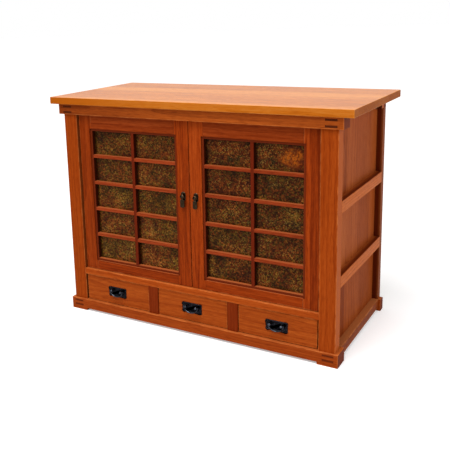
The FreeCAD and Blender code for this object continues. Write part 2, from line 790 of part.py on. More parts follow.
def drop_shape(x, y, z, eye_half):
    # A flat drop on a narrow eye, rounded at its lower corners.
    half = drop_width / 2
    thick = drop_thickness / 2
    top = z - drop_shoulder
    low = z - drop_length
    body = block(x - half, x + half, y - thick, y + thick, low, top)
    corners = [e for e in body.Edges if e.BoundBox.YLength > drop_thickness - 1e-6 and e.BoundBox.ZMax < low + 1e-6]
    body = body.makeFillet(drop_end_radius, corners)
    shank = block(x - eye_half, x + eye_half, y - thick, y + thick, top, z)
    eye = rod(drop_eye_radius, V(x - eye_half, y, z), 2 * eye_half, V(1, 0, 0))
    hole = rod(drop_pin_radius + drop_pin_clearance, V(x - eye_half, y, z), 2 * eye_half, V(1, 0, 0))
    return body.fuse([shank, eye]).cut(hole)


def main():
    os.makedirs("parts", exist_ok=True)
    build_top_board()
    build_fascia()
    build_rear_top_rail()
    build_top_side_rails()
    build_posts()
    build_mid_rails()
    build_side_panels()
    build_base_beams()
    build_base_rails()
    build_inner_boards()
    build_shelf()
    build_drawer_rail()
    build_dividers()
    build_partitions()
    build_runners()
    for name, left, right in drawer_bays():
        build_drawer(name, left, right)
    build_door_frames()
    build_lattices()
    build_glazing()
    build_pivots()
    build_door_pulls()


main()
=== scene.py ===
import math
import random
import bpy
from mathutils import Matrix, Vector


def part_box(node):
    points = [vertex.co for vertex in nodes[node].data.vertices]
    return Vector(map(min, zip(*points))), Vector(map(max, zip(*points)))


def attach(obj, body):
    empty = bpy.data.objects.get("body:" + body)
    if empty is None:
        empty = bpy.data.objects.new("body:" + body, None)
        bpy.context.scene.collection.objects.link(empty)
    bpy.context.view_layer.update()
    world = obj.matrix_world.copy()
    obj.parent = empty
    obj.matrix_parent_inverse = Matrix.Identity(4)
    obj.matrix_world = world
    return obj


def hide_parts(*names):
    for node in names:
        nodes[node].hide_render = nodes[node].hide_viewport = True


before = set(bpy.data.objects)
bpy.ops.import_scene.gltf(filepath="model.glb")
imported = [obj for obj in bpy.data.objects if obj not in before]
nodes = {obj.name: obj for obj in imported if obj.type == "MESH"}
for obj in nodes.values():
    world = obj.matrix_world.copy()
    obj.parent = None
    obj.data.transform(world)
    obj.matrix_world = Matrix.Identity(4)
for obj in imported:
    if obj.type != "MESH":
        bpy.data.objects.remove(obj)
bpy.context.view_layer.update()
print("frame loaded,", len(nodes), "nodes")


# shader maths: a wire is a socket that can be added, scaled and fed on
class Wire:
    def __init__(self, socket):
        self.socket = socket

    def make(self, kind, settings=None, inputs=None, out=0):
        tree = self.socket.id_data
        node = tree.nodes.new(kind)
        for key, value in (settings or {}).items():
            if key == "stops":
                ends = node.color_ramp.elements
                ends[0].position, ends[0].color = value[0]
                ends[1].position, ends[1].color = value[-1]
                for spot, colour in value[1:-1]:
                    ends.new(spot).color = colour
            else:
                setattr(node, key, value)
        plug(node, inputs or {})
        return Wire(node.outputs[out])

    def calc(self, operation, *values):
        return self.make("ShaderNodeMath", {"operation": operation}, dict(enumerate(values)))

    def __add__(self, other):
        return self.calc("ADD", self, other)

    def __radd__(self, other):
        return self.calc("ADD", other, self)

    def __sub__(self, other):
        return self.calc("SUBTRACT", self, other)

    def __rsub__(self, other):
        return self.calc("SUBTRACT", other, self)

    def __mul__(self, other):
        return self.calc("MULTIPLY", self, other)

    def __rmul__(self, other):
        return self.calc("MULTIPLY", other, self)

    def __truediv__(self, other):
        return self.calc("DIVIDE", self, other)

    def __abs__(self):
        return self.calc("ABSOLUTE", self)

    def lower(self, other):
        return self.calc("MINIMUM", self, other)

    def higher(self, other):
        return self.calc("MAXIMUM", self, other)

    def over(self, edge):
        return self.calc("GREATER_THAN", self, edge)

    def root(self):
        return self.calc("SQRT", self)

    def floor(self):
        return self.calc("FLOOR", self)

    def fract(self):
        return self.calc("FRACT", self)

    def wrapped(self, size):
        return self.calc("FLOORED_MODULO", self, size)

    # 0 at the first value, 1 at the second, eased between
    def eased(self, first, second):
        return self.make("ShaderNodeMapRange", {"interpolation_type": "SMOOTHSTEP"},
                         {"Value": self, "From Min": first, "From Max": second})

    # this wire as the factor between two colours
    def between(self, first, second):
        return self.make("ShaderNodeMix", {"data_type": "RGBA"}, {0: self, 6: first, 7: second}, 2)

    def split(self):
        node = self.make("ShaderNodeSeparateXYZ", None, {0: self}).socket.node
        return [Wire(socket) for socket in node.outputs]

    def joined(self, second, third):
        return self.make("ShaderNodeCombineXYZ", None, {0: self, 1: second, 2: third})

    def stretched(self, amounts):
        return self.make("ShaderNodeVectorMath", {"operation": "MULTIPLY"}, {0: self, 1: amounts})

    def noise(self, amounts, detail, roughness):
        return self.make("ShaderNodeTexNoise", None, {"Vector": self.stretched(amounts), "Scale": 1.0,
                                                      "Detail": detail, "Roughness": roughness})

    # three random values for each cell
    def cells(self, scale):
        return self.make("ShaderNodeTexVoronoi", None, {"Vector": self, "Scale": scale}, 1).split()

    def ramp(self, stops):
        return self.make("ShaderNodeValToRGB", {"stops": stops}, {0: self})

    def bump(self, strength, distance):
        return self.make("ShaderNodeBump", None,
                         {"Strength": strength, "Distance": distance, "Height": self})


def plug(node, values):
    for key, value in values.items():
        if isinstance(value, Wire):
            node.id_data.links.new(value.socket, node.inputs[key])
        else:
            node.inputs[key].default_value = value


def tint(code):
    parts = [int(code[i:i + 2], 16) / 255 for i in (1, 3, 5)]
    return tuple(c / 12.92 if c <= 0.04045 else ((c + 0.055) / 1.055) ** 2.4 for c in parts) + (1.0,)


def newFinish(name):
    finish = bpy.data.materials.new(name)
    finish.use_nodes = True
    shader = finish.node_tree.nodes["Principled BSDF"]
    place = Wire(shader.outputs[0]).make("ShaderNodeTexCoord").socket.node.outputs
    return finish, shader, Wire(place["Object"]), Wire(place["Normal"])


def dress(piece, finish):
    if not piece.material_slots:
        piece.data.materials.append(finish)
    for slot in piece.material_slots:
        slot.material = finish


# woods: light, mid and dark of the figure, then how strong each part of it is; the tint for wear on the
# edges also paints highlight on ledges, and a dark tint paints shade in recesses and on shaded faces
frameWood = {"light": "#B25018", "mid": "#9B3F0E", "dark": "#7C2B07", "pore": "#5A1A04", "end": "#521B0B",
             "wornAndLit": "#D98040", "shadeTint": "#2A0C04", "streak": 0.6, "fleck": 0.45, "drift": 0.4, "ring": 0.2,
             "spacing": 0.006, "bend": 0.016, "poreDepth": 0.4, "endDepth": 0.75, "wear": 0.5, "ledge": 0.3,
             "frontShade": 0.0, "stave": 0.0, "turnShade": 0.0, "rough": 0.36, "bump": 0.25, "ior": 1.08,
             "coat": 0.0}
# the top: its front edge is painted with shade, deepening towards its left end
topWood = dict(frameWood, light="#DA8E3A", mid="#CC7622", dark="#A85A10", wornAndLit="#DA9A55", pore="#7A3208",
               end="#7C3A18", endDepth=0.72, stave=0.28, spacing=0.008, rough=0.33, ledge=0.0, coat=0.5,
               frontShade=0.65, frontFade=(0.0, -0.6, 0.35), shadeTint="#A8540C", streak=1.3, fleck=0.9)
# the fascia: painted shade darkening it towards its left end
fasciaWood = dict(frameWood, light="#B4581F", mid="#9C4816", dark="#7C340E", dimX=(-0.05, -0.6, 0.3))
baseWood = dict(frameWood, light="#A64A18", mid="#903A0E", dark="#742807")
# posts: their side faces are painted lighter, standing in for the light on them
postWood = dict(frameWood, light="#AC4C16", mid="#953C0D", ior=1.05, streak=0.45, flank="#B8622C")
# doors: the step tint is painted shade in the moulding round the glass
doorWood = dict(frameWood, light="#A84614", mid="#90350A", dark="#6E2305", wornAndLit="#C4713F", streak=0.85,
                step="#5E220F", ledge=0.5)
hingeStile = {"left": dict(doorWood, light="#9D4012", mid="#863109", dark="#692205"),
              "right": dict(doorWood, dimX=(0.46, 0.467, 0.2))}   # heartwood down its outer edge
meetingStile = dict(doorWood, wear=0.1)
doorTopRail = dict(doorWood, light="#9C4218", mid="#85330E")
latticeWood = dict(doorWood, light="#A0421E", mid="#883416", dark="#621E0A", turnShade=0.4, ledge=0.4)
dividerWood = dict(doorWood, light="#8C3510", mid="#762909")
drawerWood = dict(frameWood, light="#B2551C", mid="#9B4312", dark="#803009", spacing=0.0075, bend=0.03,
                  drift=0.45)
panelWood = dict(frameWood, light="#AA5A2A", mid="#94471D", dark="#793310", stave=0.26, rough=0.42, ior=1.05,
                 rows=(0.289, 0.551), rowShade=0.06)
sideWood = dict(frameWood, light="#C26A32", mid="#AE5722", dark="#8F4012", wornAndLit="#D88A52", ledge=0.4,
                ior=1.05)
topSideWood = dict(sideWood, end="#350E08", endDepth=0.9)   # its tenons are the dark bars on the fascia
baseSideWood = dict(sideWood, light="#984A22", mid="#843C16", dark="#6C2D0E")
# mid rails: their tops get painted shade, darkest towards their outer arris
midRailWood = dict(sideWood, ledge=0.0, shadeTint="#5A1C08", shelf=(0.529, 0.551))
# rear posts: their forward face, in the reveal beside the side panels, is painted with shade that fades
# towards its open edge
rearWood = dict(sideWood, light="#914E29", mid="#7F401D", dark="#692F13", wornAndLit="#94583A", frontShade=0.9,
                shadeTint="#501603", openAt=(0.545, 0.556))
innerWood = dict(frameWood, light="#C79A62", mid="#B5854C", dark="#946534", pore="#7C5228", end="#8A5A30",
                 wornAndLit="#CFA874", rough=0.55, wear=0.2, stave=0.2, ledge=0.0)
plyWood = dict(innerWood, light="#BF9866", mid="#B08550", dark="#977044", ring=0.12, bend=0.05,
               spacing=0.012)

# the figure all boards share: noises with their stretch along, across and into the grain, their detail and
# roughness, and where each mask sets in; shelfDepth, shelfRest and rebateDepth set painted shade, flankDepth
# painted light
figure = {"wander": ((1.3, 5.0, 5.0), 2.0, 0.5), "streak": ((5.5, 150.0, 150.0), 4.0, 0.65),
          "drift": ((1.6, 9.0, 9.0), 1.0, 0.5), "fleck": ((34.0, 260.0, 260.0), 2.0, 0.6),
          "pore": ((26.0, 420.0, 420.0), 1.0, 0.5), "poreFrom": (0.58, 0.72),
          "rub": ((30.0, 30.0, 30.0), 3.0, 0.5), "rubFrom": (0.3, 0.7), "arris": (0.0005, 0.004),
          "vary": 0.06, "lift": (1, 40), "shift": 7.0, "rowShift": 5.0, "waver": 0.008,
          "pithAside": 0.05, "pithDeep": (0.05, 0.14), "early": 0.33, "stops": (0.2, 0.5, 0.8),
          "endFrom": (0.8, 0.95), "faceFrom": (0.6, 0.9),
          "shelfDepth": 0.8, "shelfRest": 0.1, "flankDepth": 0.5, "rebateDepth": 0.65,
          "streakRough": 0.14, "poreRough": 0.1, "endRough": 0.15, "relief": (0.6, 0.3, 0.8),
          "bumpDeep": 0.0006, "coatIor": 1.25, "coatRough": 0.3}
# a door's moulding: how far it reaches past the lattice, and how deep in its step and its opening the
# painted shade sets in and how dark it is
moulding = {"reach": 0.0097, "backOver": 0.6, "stepFrom": (0.0015, 0.004), "stepDepth": 0.8,
            "wellFrom": (0.0008, 0.0025), "wellDepth": 0.9}


# one board, grain along x, y or z: box gives where its edges wear, staves its glued strips, turned the parts
# that lie across, wells where a door's moulding and opening begin and get painted shade, rebate which way a
# post's inner face looks for its painted shade
def woodFinish(name, look, grain, box=None, staves=None, turned=None, wells=None, rebate=0):
    finish, shader, at, facing = newFinish(name)
    draw = random.Random(name)
    x, y, z = at.split()
    sides = dict(zip("xyz", facing.split()))
    axes = {"x": (x, z, y), "y": (y, z, x), "z": (z, x, y)}
    along, across, deep = axes[grain]
    end = abs(sides[grain])
    tone = 0.5 + draw.uniform(-figure["vary"], figure["vary"])
    if turned:
        other, mask = turned(x, y, z)
        pairs = zip(axes[grain], axes[other])
        along, across, deep = [mine + mask * (theirs - mine) for mine, theirs in pairs]
        end = end + mask * (abs(sides[other]) - end)
        tone = tone - mask * look["turnShade"]
    lift = draw.uniform(*figure["lift"])   # no two boards from the same place in the tree
    if staves:
        axis, width = staves
        strip = axes[axis][0] / width + draw.uniform(0, 1)
        number = strip.floor() + lift
        if "rows" in look:
            row = z.over(look["rows"][0]) + z.over(look["rows"][1])
            number = number + row * figure["rowShift"]
            tone = tone + (row - 2.0) * look["rowShade"]
        jump = strip.make("ShaderNodeTexWhiteNoise", {"noise_dimensions": "1D"}, {"W": number})
        lift = lift + jump * figure["shift"]
        tone = tone + (jump - 0.5) * look["stave"]
    board = (along + lift).joined(across, deep)
    wander = board.noise(*figure["wander"])
    middle = Vector((0, 0, 0)) if box is None else (box[0] + box[1]) / 2
    centre = {"x": (middle.z, middle.y), "y": (middle.z, middle.x), "z": (middle.x, middle.y)}[grain]
    dx = across - (centre[0] + draw.uniform(-figure["pithAside"], figure["pithAside"]))
    dy = deep - (centre[1] + draw.choice((-1, 1)) * draw.uniform(*figure["pithDeep"]))
    rings = ((dx * dx + dy * dy).root() + wander * look["bend"]) / look["spacing"]
    band = rings.fract()
    band = band * band
    streak = board.noise(*figure["streak"])
    drift = board.noise(*figure["drift"])
    fleck = board.noise(*figure["fleck"])
    pores = board.noise(*figure["pore"]).eased(*figure["poreFrom"])
    tone = (streak - 0.5) * look["streak"] + (drift - 0.5) * look["drift"] \
        - (band - figure["early"]) * look["ring"] + tone
    tone = tone + (fleck - 0.5) * look["fleck"]
    # dimX: painted shade on the fascia, the heartwood's colour on the right hinge stile
    if "dimX" in look:   # darker from the first x to the second
        first, second, depth = look["dimX"]
        tone = tone - ((wander - 0.5) * figure["waver"] + x).eased(first, second) * depth
    shades = [tint(look[shade]) for shade in ("dark", "mid", "light")]
    colour = tone.ramp(list(zip(figure["stops"], shades)))
    colour = (pores * look["poreDepth"]).between(colour, tint(look["pore"]))
    if box:
        a, b, c = [(w - low).lower(high - w) for w, low, high in zip((x, y, z), box[0], box[1])]
        edge = a.lower(b).higher(a.higher(b).lower(c))   # distance to the board's nearest arris
        rub = (1 - edge.eased(*figure["arris"])) * at.noise(*figure["rub"]).eased(*figure["rubFrom"])
        colour = (rub * look["wear"]).between(colour, tint(look["wornAndLit"]))
    endMask = end.eased(*figure["endFrom"])
    colour = (endMask * look["endDepth"]).between(colour, tint(look["end"]))
    up = sides["z"].eased(*figure["faceFrom"])
    # painted highlight: faces that look up, such as ledges and the tops of rails and bars, lightened towards
    # the tint used for wear
    if look["ledge"]:
        colour = (up * (1 - endMask) * look["ledge"]).between(colour, tint(look["wornAndLit"]))
    # painted shade on faces that look up: a little all over, strongest towards the outer x of the shelf
    # range
    if "shelf" in look:
        shade = up * abs(x).eased(*look["shelf"]) * figure["shelfDepth"] + up * figure["shelfRest"]
        colour = shade.between(colour, tint(look["shadeTint"]))
    # painted light: faces that look sideways take a lighter tint
    if "flank" in look:
        flank = abs(sides["x"]).eased(*figure["faceFrom"])
        colour = (flank * figure["flankDepth"]).between(colour, tint(look["flank"]))
    # painted shade on faces that look forward, faded out near the open edge where openAt is given and
    # deepened from the first x to the second where frontFade is given
    if look["frontShade"]:
        front = (sides["y"] * -1.0).eased(*figure["faceFrom"])
        if "openAt" in look:
            front = front * (1 - abs(x).eased(*look["openAt"]))
        depth = look["frontShade"]
        if "frontFade" in look:   # darker from the first x to the second
            first, second, more = look["frontFade"]
            depth = x.eased(first, second) * more + depth
        colour = (front * depth).between(colour, tint(look["shadeTint"]))
    # painted shade on a front post's inner face, inside the door opening
    if rebate:
        inner = (sides["x"] * rebate).eased(*figure["faceFrom"])
        colour = (inner * figure["rebateDepth"]).between(colour, tint(look["shadeTint"]))
    # painted shade in a door's moulding: its sunk step in the step tint, and deeper into the opening in the
    # dark tint
    if wells:
        step, low, high = wells
        away = abs(x - (low.x + high.x) / 2) - (high.x - low.x) / 2
        rise = abs(z - (low.z + high.z) / 2) - (high.z - low.z) / 2
        inside = 1 - away.higher(rise).over(moulding["reach"])
        inside = inside * (1 - sides["y"].over(moulding["backOver"]))
        if step is not None:
            sunk = y.eased(*[step + start for start in moulding["stepFrom"]])
            colour = (sunk * inside * (1 - up) * moulding["stepDepth"]).between(colour, tint(look["step"]))
        sunk = y.eased(*[low.y + start for start in moulding["wellFrom"]])
        colour = (sunk * inside * (1 - up) * moulding["wellDepth"]).between(colour, tint(look["shadeTint"]))
    rough = (streak - 0.5) * figure["streakRough"] + pores * figure["poreRough"] \
        + endMask * figure["endRough"] + look["rough"]
    raised, early, sunk = figure["relief"]
    height = streak * raised - band * early - pores * sunk
    plug(shader, {"Base Color": colour, "Roughness": rough, "IOR": look["ior"],
                  "Normal": height.bump(look["bump"], figure["bumpDeep"])})
    if look["coat"]:
        plug(shader, {"Coat Weight": up * look["coat"], "Coat IOR": figure["coatIor"],
                      "Coat Roughness": figure["coatRough"]})
    return finish


def dressWood(name, look, grain, edges=True, staves=None, turned=None, wells=None, rebate=0):
    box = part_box(name) if edges else None
    dress(nodes[name], woodFinish(name + "_wood", look, grain, box, staves, turned, wells, rebate))


strips = {"top": 0.118, "panel": 0.142, "shelf": 0.11}   # widths of the glued strips
dressWood("top_board", topWood, "x", staves=("y", strips["top"]))
dressWood("front_fascia", fasciaWood, "x")
for name in ("front_base_beam", "rear_base_beam"):
    dressWood(name, baseWood, "x")
for name in ("rear_top_rail", "drawer_rail"):
    dressWood(name, frameWood, "x")
dressWood("drawer_dividers", dividerWood, "z", edges=False)
for side, inward in (("left", 1), ("right", -1)):
    dressWood(side + "_front_post", postWood, "z", rebate=inward)
    dressWood(side + "_rear_post", rearWood, "z")
    dressWood(side + "_top_side_rail", topSideWood, "y")
    dressWood(side + "_base_rail", baseSideWood, "y")
    dressWood(side + "_mid_rails", midRailWood, "y", edges=False)
    dressWood(side + "_side_panels", panelWood, "z", edges=False, staves=("y", strips["panel"]))
print("carcass woods done")

halfUpright, boxSide = 0.0061, 0.0125   # half the lattice's upright, and a drawer side with its dovetails
for side in ("left", "right"):
    door = side + "_door_"
    low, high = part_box(door + "lattice")
    middle = (low.x + high.x) / 2
    wells = (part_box(door + "hinge_stile")[0].y, low, high)
    dressWood(door + "hinge_stile", hingeStile[side], "z", wells=wells)
    dressWood(door + "meeting_stile", meetingStile, "z", wells=wells)
    dressWood(door + "top_rail", doorTopRail, "x", wells=wells)
    dressWood(door + "bottom_rail", doorWood, "x", wells=wells)
    dressWood(door + "lattice", latticeWood, "x", edges=False, wells=(None, low, high),
              turned=lambda x, y, z: ("z", 1 - abs(x - middle).over(halfUpright)))
    dressWood(door + "glazing_beads", doorWood, "x", edges=False,
              turned=lambda x, y, z: ("z", abs(x - middle).over((high.x - low.x) / 2)))
for side in ("left", "centre", "right"):
    dressWood(side + "_drawer_front", drawerWood, "x")
    low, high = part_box(side + "_drawer_box")
    middle, half = (low.x + high.x) / 2, (high.x - low.x) / 2 - boxSide
    dressWood(side + "_drawer_box", innerWood, "x", edges=False,
              turned=lambda x, y, z: ("y", abs(x - middle).over(half)))
for name in ("cabinet_floor", "shelf"):
    dressWood(name, innerWood, "x", staves=("y", strips["shelf"]))
for name in ("back_panel", "bottom_board"):
    dressWood(name, plyWood, "x", edges=False)
for name in ("drawer_partitions", "drawer_runners"):
    dressWood(name, innerWood, "y", edges=False)
print("door, drawer and inner woods done")


# mottled glass: flakes of brown, olive and amber, a few golden, stained in patches and darker in clouds
mottledGlass = {"cool": [(0.0, "#0E0702"), (0.3, "#2E1D09"), (0.55, "#4E330F"), (0.76, "#775318"),
                         (0.92, "#B48E48")],
                "warm": [(0.0, "#160603"), (0.35, "#401A09"), (0.65, "#6C3311"), (0.92, "#A8662A")],
                "flake": 190.0, "fine": ((250.0, 250.0, 250.0), 3.0, 0.65),
                "cloud": ((13.0, 13.0, 13.0), 3.0, 0.55), "mottle": (0.44, 0.66, 0.7), "fall": 0.16,
                "patch": ((7.0, 7.0, 9.0), 2.0, 0.5), "patchFrom": (0.38, 0.62), "hue": 0.5,
                "stains": (("#171B10", ((21.0, 21.0, 24.0), 2.0, 0.5)),
                           ("#2A100C", ((17.0, 19.0, 22.0), 2.0, 0.5))),
                "stainFrom": (0.54, 0.7), "stainDepth": 0.4,
                "speck": "#A5813C", "speckOver": 0.9, "speckFrom": (0.35, 0.6), "speckDepth": 0.4,
                "ragged": ((38.0, 38.0, 38.0), 2.0, 0.5), "raggedDepth": 2.4,
                "ember": "#74260B", "emberFrom": (0.3, 2.0), "emberDepth": 0.4,
                "glow": "#B45A10", "glowFrom": (0.0, 1.1), "glowFlake": (0.2, 0.95),
                "glowDepth": (0.62, 0.08), "columns": 2, "rows": 5, "upright": 0.012, "crossbar": 0.012,
                "besideFrom": (0.002, 0.014), "underFrom": (0.001, 0.01), "underDepth": 0.7,
                "shade": "#0E0502", "dim": 0.75,
                "rough": 0.25, "ior": 1.1, "grit": 0.5, "bump": 0.2, "bumpDeep": 0.0008}
panes = {"left": {"lift": 0.5, "vivid": 0.92, "glow": None},
         "right": {"lift": 0.43, "vivid": 1.0, "glow": (0.392, 0.706, 0.045, 0.04)}}   # x, z and half sizes


def glassFinish(side):
    finish, shader, at = newFinish(side + "_door_glass_finish")[:3]
    look, pane = mottledGlass, panes[side]
    x, z = at.split()[::2]
    light, hue, rest = at.cells(look["flake"])
    fine = at.noise(*look["fine"])
    cloud = at.noise(*look["cloud"])
    low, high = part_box(side + "_door_lattice")
    fall = ((low.z + high.z) / 2 - z) * look["fall"]
    byFlake, byFine, byCloud = look["mottle"]
    mottle = (light - 0.5) * byFlake + (fine - 0.5) * byFine + (cloud - 0.5) * byCloud
    tone = mottle * pane["vivid"] + fall + pane["lift"]
    cool, warm = [tone.ramp([(spot, tint(code)) for spot, code in look[kind]])
                  for kind in ("cool", "warm")]
    patch = at.noise(*look["patch"])
    colour = (patch + (hue - 0.5) * look["hue"]).eased(*look["patchFrom"]).between(cool, warm)
    for code, spread in look["stains"]:
        stain = at.noise(*spread).eased(*look["stainFrom"])
        colour = (stain * look["stainDepth"]).between(colour, tint(code))
    specks = at.cells(look["flake"] * 2)[0].over(look["speckOver"]) * cloud.eased(*look["speckFrom"])
    colour = (specks * look["speckDepth"]).between(colour, tint(look["speck"]))
    # painted light: a spot of warm light in the right door's top pane, dark red at its fringe and orange
    # flakes at its heart
    if pane["glow"]:
        spotX, spotZ, wide, tall = pane["glow"]
        dx, dz = (x - spotX) / wide, (z - spotZ) / tall
        away = dx * dx + dz * dz + (at.noise(*look["ragged"]) - 0.5) * look["raggedDepth"]
        embers = (1 - away.eased(*look["emberFrom"])) * look["emberDepth"]
        colour = embers.between(colour, tint(look["ember"]))
        flaked, plain = look["glowDepth"]
        heart = (1 - away.eased(*look["glowFrom"])) * (rest.eased(*look["glowFlake"]) * flaked + plain)
        colour = heart.between(colour, tint(look["glow"]))
    # painted shadow of the lattice bars on the glass, along each pane's left and upper edge
    column = (high.x - low.x + look["upright"]) / look["columns"]
    row = (high.z - low.z + look["crossbar"]) / look["rows"]
    beside = (x - low.x).wrapped(column)   # from the left edge of each pane
    under = (high.z - z).wrapped(row)   # from its upper edge
    below = (1 - under.eased(*look["underFrom"])) * look["underDepth"]
    dim = (1 - beside.eased(*look["besideFrom"])).higher(below)
    colour = (dim * look["dim"]).between(colour, tint(look["shade"]))
    plug(shader, {"Base Color": colour, "Roughness": look["rough"], "IOR": look["ior"],
                  "Normal": (fine + light * look["grit"]).bump(look["bump"], look["bumpDeep"])})
    return finish


for side in panes:
    dress(nodes[side + "_door_glass"], glassFinish(side))

# hammered iron: a painted highlight on what faces up and forward, rubbed bright on its dents and, partly
# wear and partly painted highlight, where it stands proud; the door pulls are browner
blackIron = {"base": "#121115", "rub": "#757D8A", "rough": 0.32, "ridge": 0.1, "proud": 0.36, "dent": 190.0,
             "soft": 0.6, "cloud": ((90.0, 90.0, 90.0), 4.0, 0.6), "upFrom": (0.35, 0.8),
             "outFrom": (0.15, 0.5), "ridgeCloud": (0.3, 0.6), "dentFrom": (0.5, 0.8), "dentRub": 0.06,
             "proudFrom": (0.007, 0.012), "proudCloud": (0.35, 0.6), "vary": 0.3, "polish": 0.1,
             "grit": 0.25, "bump": 0.4, "bumpDeep": 0.0008}
# bails: more painted highlight on what faces up and forward, less rub where they stand proud
rubbedAndLitIron = dict(blackIron, ridge=0.3, proud=0.12)
# door pulls: a strong painted highlight on what faces up and forward, no rub where they stand proud
brownIron = dict(blackIron, base="#2B1F14", rub="#877760", rough=0.35, ridge=0.45, proud=0.0, dent=230.0)


# face is the drawer's front; what stands far before it is rubbed bright, partly wear and partly a painted
# highlight
def ironFinish(name, look, face):
    finish, shader, at, facing = newFinish(name)
    dents = at.make("ShaderNodeTexVoronoi", {"feature": "SMOOTH_F1"},
                    {"Vector": at, "Scale": look["dent"], "Smoothness": look["soft"]})
    cloud = at.noise(*look["cloud"])
    out, up = facing.split()[1:]
    # painted highlight on what faces up and forward
    ridge = up.eased(*look["upFrom"]) * (out * -1.0).eased(*look["outFrom"])   # what faces up and forward
    y = at.split()[1]
    rub = ridge * look["ridge"] * cloud.eased(*look["ridgeCloud"]) \
        + dents.eased(*look["dentFrom"]) * look["dentRub"] \
        + (face - y).eased(*look["proudFrom"]) * cloud.eased(*look["proudCloud"]) * look["proud"]
    plug(shader, {"Base Color": rub.between(tint(look["base"]), tint(look["rub"])), "Metallic": 1.0,
                  "Roughness": (cloud - 0.5) * look["vary"] - rub * look["polish"] + look["rough"],
                  "Normal": (dents + cloud * look["grit"]).bump(look["bump"], look["bumpDeep"])})
    return finish


agedBrass = {"base": "#8A6A34", "dull": "#4E3A1C", "rough": 0.38,
             "cloud": ((160.0, 160.0, 160.0), 4.0, 0.6), "dullFrom": (0.35, 0.65),
             "scratch": ((900.0, 60.0, 900.0), 2.0, 0.5), "vary": 0.3, "bump": 0.15, "bumpDeep": 0.0004}


def brassFinish():
    finish, shader, at = newFinish("aged_brass_finish")[:3]
    look = agedBrass
    bright = at.noise(*look["cloud"]).eased(*look["dullFrom"])
    scratch = at.noise(*look["scratch"])
    plug(shader, {"Base Color": bright.between(tint(look["dull"]), tint(look["base"])), "Metallic": 1.0,
                  "Roughness": (scratch - 0.5) * look["vary"] + look["rough"],
                  "Normal": scratch.bump(look["bump"], look["bumpDeep"])})
    return finish


brass = brassFinish()
for name in ("pivot_bushes", "door_ball_catches", "shelf_pins", "left_door_pivot_pins",
             "right_door_pivot_pins"):
    dress(nodes[name], brass)
print("glass and brass done")

near = 1e-5   # how close counts as the same place
pinSides = 16
angles = {"bevel": math.radians(32), "smooth": math.radians(35)}   # from where a bend is an edge


def settled(name):
    piece = bpy.context.object
    piece.name = name
    bpy.ops.object.transform_apply(location=True, rotation=True, scale=True)
    return piece


def block(name, low, high):
    bpy.ops.object.select_all(action="DESELECT")
    bpy.ops.mesh.primitive_cube_add(size=1.0, location=[(a + b) / 2 for a, b in zip(low, high)],
                                    scale=[b - a for a, b in zip(low, high)])
    return settled(name)


def barrel(name, centre, radius, depth, axis, sides=20):
    bpy.ops.object.select_all(action="DESELECT")
    bpy.ops.mesh.primitive_cylinder_add(vertices=sides, radius=radius, depth=depth, location=centre,
                                        rotation={"x": (0, math.pi / 2, 0), "y": (math.pi / 2, 0, 0)}[axis])
    return settled(name)


def pick(piece):
    bpy.ops.object.select_all(action="DESELECT")
    piece.select_set(True)
    bpy.context.view_layer.objects.active = piece


# goes into edit mode with the faces, edges or points that pass the test
def choose(piece, kind, test):
    pick(piece)
    bpy.ops.object.mode_set(mode="EDIT")
    bpy.ops.mesh.select_mode(type=kind)
    bpy.ops.mesh.select_all(action="DESELECT")
    bpy.ops.object.mode_set(mode="OBJECT")
    mesh = piece.data
    points = mesh.vertices
    for item in {"FACE": mesh.polygons, "EDGE": mesh.edges, "VERT": points}[kind]:
        item.select = test(item) if kind != "EDGE" else test(*[points[i].co for i in item.vertices])
    bpy.ops.object.mode_set(mode="EDIT")


def done():
    bpy.ops.object.mode_set(mode="OBJECT")


def soften(piece, width, segments=2):
    pick(piece)
    tool = piece.modifiers.new("soften", "BEVEL")
    tool.width, tool.segments = width, segments
    tool.limit_method, tool.angle_limit = "ANGLE", angles["bevel"]
    bpy.ops.object.modifier_apply(modifier="soften")


# joins the bits to one piece, its faces outwards
def welded(name, bits):
    pick(bits[0])
    for bit in bits:
        bit.select_set(True)
    bpy.ops.object.join()
    piece = bpy.context.object
    piece.name = name
    bpy.ops.object.mode_set(mode="EDIT")
    bpy.ops.mesh.select_all(action="SELECT")
    bpy.ops.mesh.normals_make_consistent(inside=False)
    done()
    bpy.ops.object.shade_smooth_by_angle(angle=angles["smooth"])
    return piece


# a copy with its own mesh, moved over
def copied(piece, name, move):
    pick(piece)
    bpy.ops.object.duplicate(linked=False)
    bpy.ops.transform.translate(value=move)
    return settled(name)


# puts the first piece and its copies in the places of the nodes they stand for
def hang(first, part, body, finishes):
    sides = list(finishes)
    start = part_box(sides[0] + part)[0]
    pieces = [first] + [copied(first, "copy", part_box(side + part)[0] - start) for side in sides[1:]]
    for side, piece in zip(sides, pieces):
        piece.name = piece.data.name = side + part + "_forged"
        dress(piece, finishes[side])
        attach(piece, side + body)
        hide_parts(side + part)


# a plate on a drawer or door: rounded corners, a sloping rim and a sunk field inside a raised border
def backPlate(name, low, high, look):
    plate = block(name, (low[0], high[1] - look["edge"], low[2]), high)
    choose(plate, "EDGE", lambda a, b: abs(a.y - b.y) > look["edge"] / 2)
    bpy.ops.mesh.bevel(offset=look["corner"], segments=look["turns"])
    done()
    for inset, move in ((look["rim"], look["edge"] - look["thick"]), (look["border"], 0.0),
                        (look["slope"], look["sink"])):
        big = max(f.area for f in plate.data.polygons if f.normal.y < look["front"])
        choose(plate, "FACE", lambda f: f.normal.y < look["front"] and f.area > big * look["most"])
        bpy.ops.mesh.inset(thickness=inset)
        bpy.ops.transform.translate(value=(0, move, 0))
        done()
    return plate


